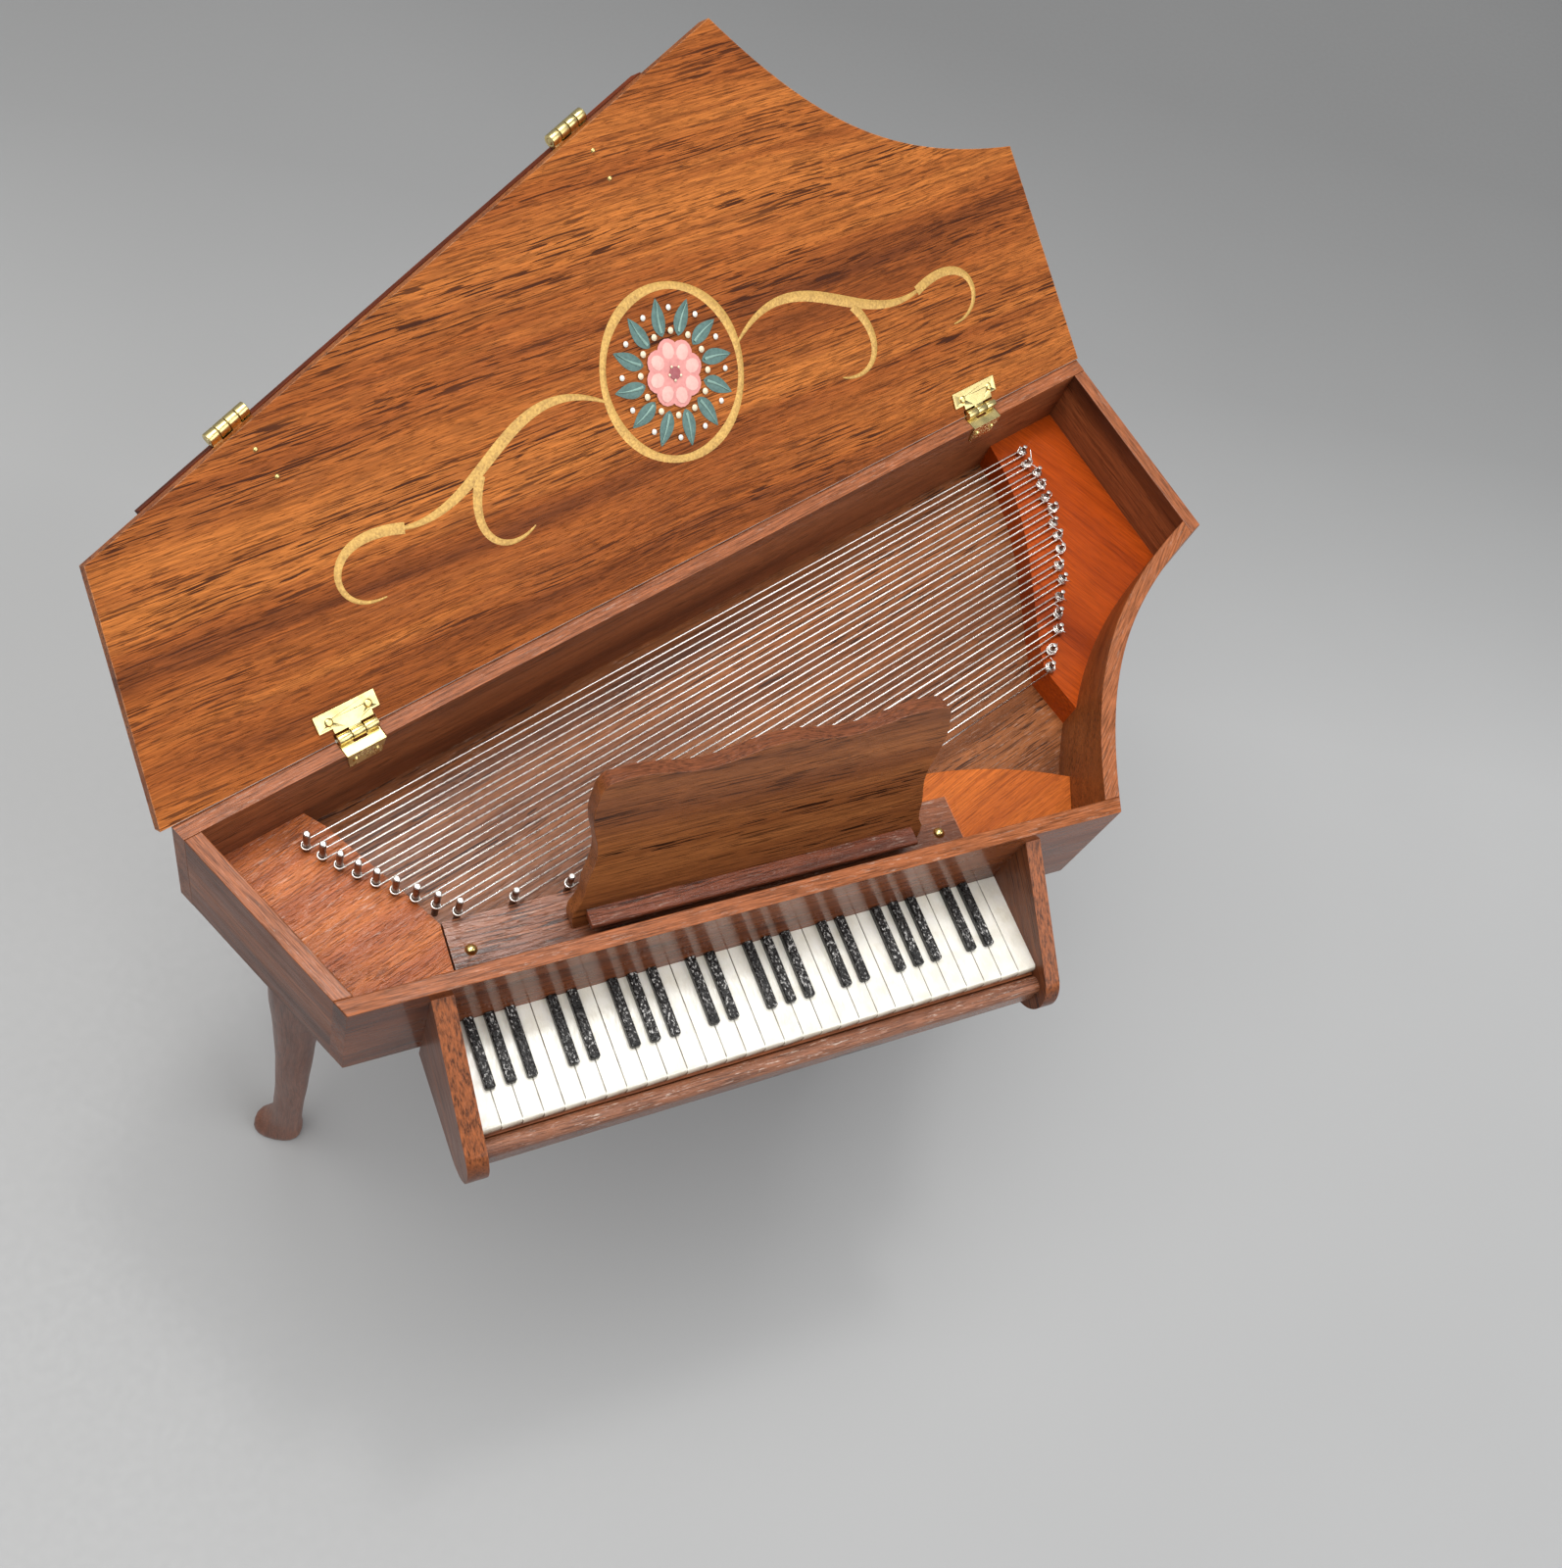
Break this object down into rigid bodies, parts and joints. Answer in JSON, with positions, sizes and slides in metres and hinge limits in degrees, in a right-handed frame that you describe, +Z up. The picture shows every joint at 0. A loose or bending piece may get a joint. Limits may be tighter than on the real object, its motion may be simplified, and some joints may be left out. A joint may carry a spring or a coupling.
{
  "type": "miniature grand piano",
  "caption": "Dolls house grand piano with hinged lid, folding keyboard flap, music desk that folds as the lid closes, strings, keyboard and curved legs.",
  "frame": {"origin": "centre of the whole model's box with the lid open, on the surface the feet stand on", "axes": "+X along the front wall towards the treble end, the box's longest side; +Y from the keyboard to the spine; +Z up"},
  "size_m": [0.1136, 0.0888, 0.0983],
  "materials": {
    "bottom_board": "satin varnish",
    "soundboard": "gloss varnish",
    "spine": "satin varnish",
    "left_wall": "satin varnish",
    "front_wall": "satin varnish",
    "bentside": "satin varnish",
    "tail_wall": "satin varnish",
    "wrest_plank": "open-pored, satin",
    "front_plank": "gloss varnish",
    "plank_nails": "worn satin",
    "treble_board": "open-pored, satin",
    "hitchpin_block": "open-pored, satin",
    "tuning_pins": "satin, domed tops",
    "hitch_pins": "satin",
    "strings": "bright wire",
    "keybed": "satin varnish",
    "natural_keys": "gloss, scored",
    "sharp_keys": "gloss black paint",
    "key_slip": "satin varnish",
    "key_cheek_left": "satin varnish",
    "key_cheek_right": "satin varnish",
    "desk_panel": "satin varnish",
    "desk_ledge": "satin varnish",
    "desk_lugs": "satin varnish",
    "desk_brackets": "satin varnish",
    "desk_pivot_pins": "worn satin",
    "leg_left": "satin varnish",
    "leg_right": "satin varnish",
    "leg_tail": "satin varnish",
    "leg_spine": "satin varnish",
    "main_lid": "satin varnish, painted flower ring and scrolls on the inner face",
    "keyboard_flap": "satin varnish",
    "lid_hinge_case_leaves": "worn satin",
    "lid_hinge_pins": "worn satin",
    "case_leaf_nails": "worn satin",
    "lid_hinge_lid_leaves": "worn satin",
    "lid_leaf_nails": "worn satin",
    "flap_hinge_lid_leaves": "worn satin",
    "flap_hinge_flap_leaves": "worn satin",
    "flap_hinge_pins": "worn satin",
    "lid_flap_nails": "worn satin",
    "flap_nails": "worn satin"
  },
  "bodies": {
    "case": {"bottom_board": "bottom_board", "soundboard": "soundboard", "spine": "spine", "left_wall": "left_wall", "front_wall": "front_wall", "bentside": "bentside", "tail_wall": "tail_wall", "wrest_plank": "wrest_plank", "front_plank": "front_plank", "plank_nails": "plank_nails", "treble_board": "treble_board", "hitchpin_block": "hitchpin_block", "tuning_pins": "tuning_pins", "hitch_pins": "hitch_pins", "strings": "strings", "keybed": "keybed", "natural_keys": "natural_keys", "sharp_keys": "sharp_keys", "key_slip": "key_slip", "key_cheek_left": "key_cheek_left", "key_cheek_right": "key_cheek_right", "desk_brackets": "desk_brackets", "desk_pivot_pins": "desk_pivot_pins", "leg_left": "leg_left", "leg_right": "leg_right", "leg_tail": "leg_tail", "leg_spine": "leg_spine", "lid_hinge_case_leaves": "lid_hinge_case_leaves", "lid_hinge_pins": "lid_hinge_pins", "case_leaf_nails": "case_leaf_nails"},
    "lid": {"main_lid": "main_lid", "lid_hinge_lid_leaves": "lid_hinge_lid_leaves", "lid_leaf_nails": "lid_leaf_nails", "flap_hinge_lid_leaves": "flap_hinge_lid_leaves", "flap_hinge_pins": "flap_hinge_pins", "lid_flap_nails": "lid_flap_nails"},
    "flap": {"keyboard_flap": "keyboard_flap", "flap_hinge_flap_leaves": "flap_hinge_flap_leaves", "flap_nails": "flap_nails"},
    "desk": {"desk_panel": "desk_panel", "desk_ledge": "desk_ledge", "desk_lugs": "desk_lugs"}
  },
  "joints": [
    {"name": "lid_hinge", "type": "hinge", "parent": "case", "child": "lid", "pos_m": [-0.00074, 0.00557, 0.06977], "axis": [0.9563, 0.2925, 0], "range_deg": [0, 139.5]},
    {"name": "flap_hinge", "type": "hinge", "parent": "lid", "child": "flap", "pos_m": [-0.0251, 0.02615, 0.08992], "axis": [0.8494, 0.4924, 0.1899], "range_deg": [0, 214]},
    {"name": "desk_fold", "type": "hinge", "parent": "case", "child": "desk", "pos_m": [-0.00493, -0.02271, 0.06535], "axis": [-1, 0, 0], "range_deg": [0, 75]}
  ],
  "couplings": [
    {"joint": "desk_fold", "follows": "lid_hinge", "ratio": 0.53763}
  ]
}
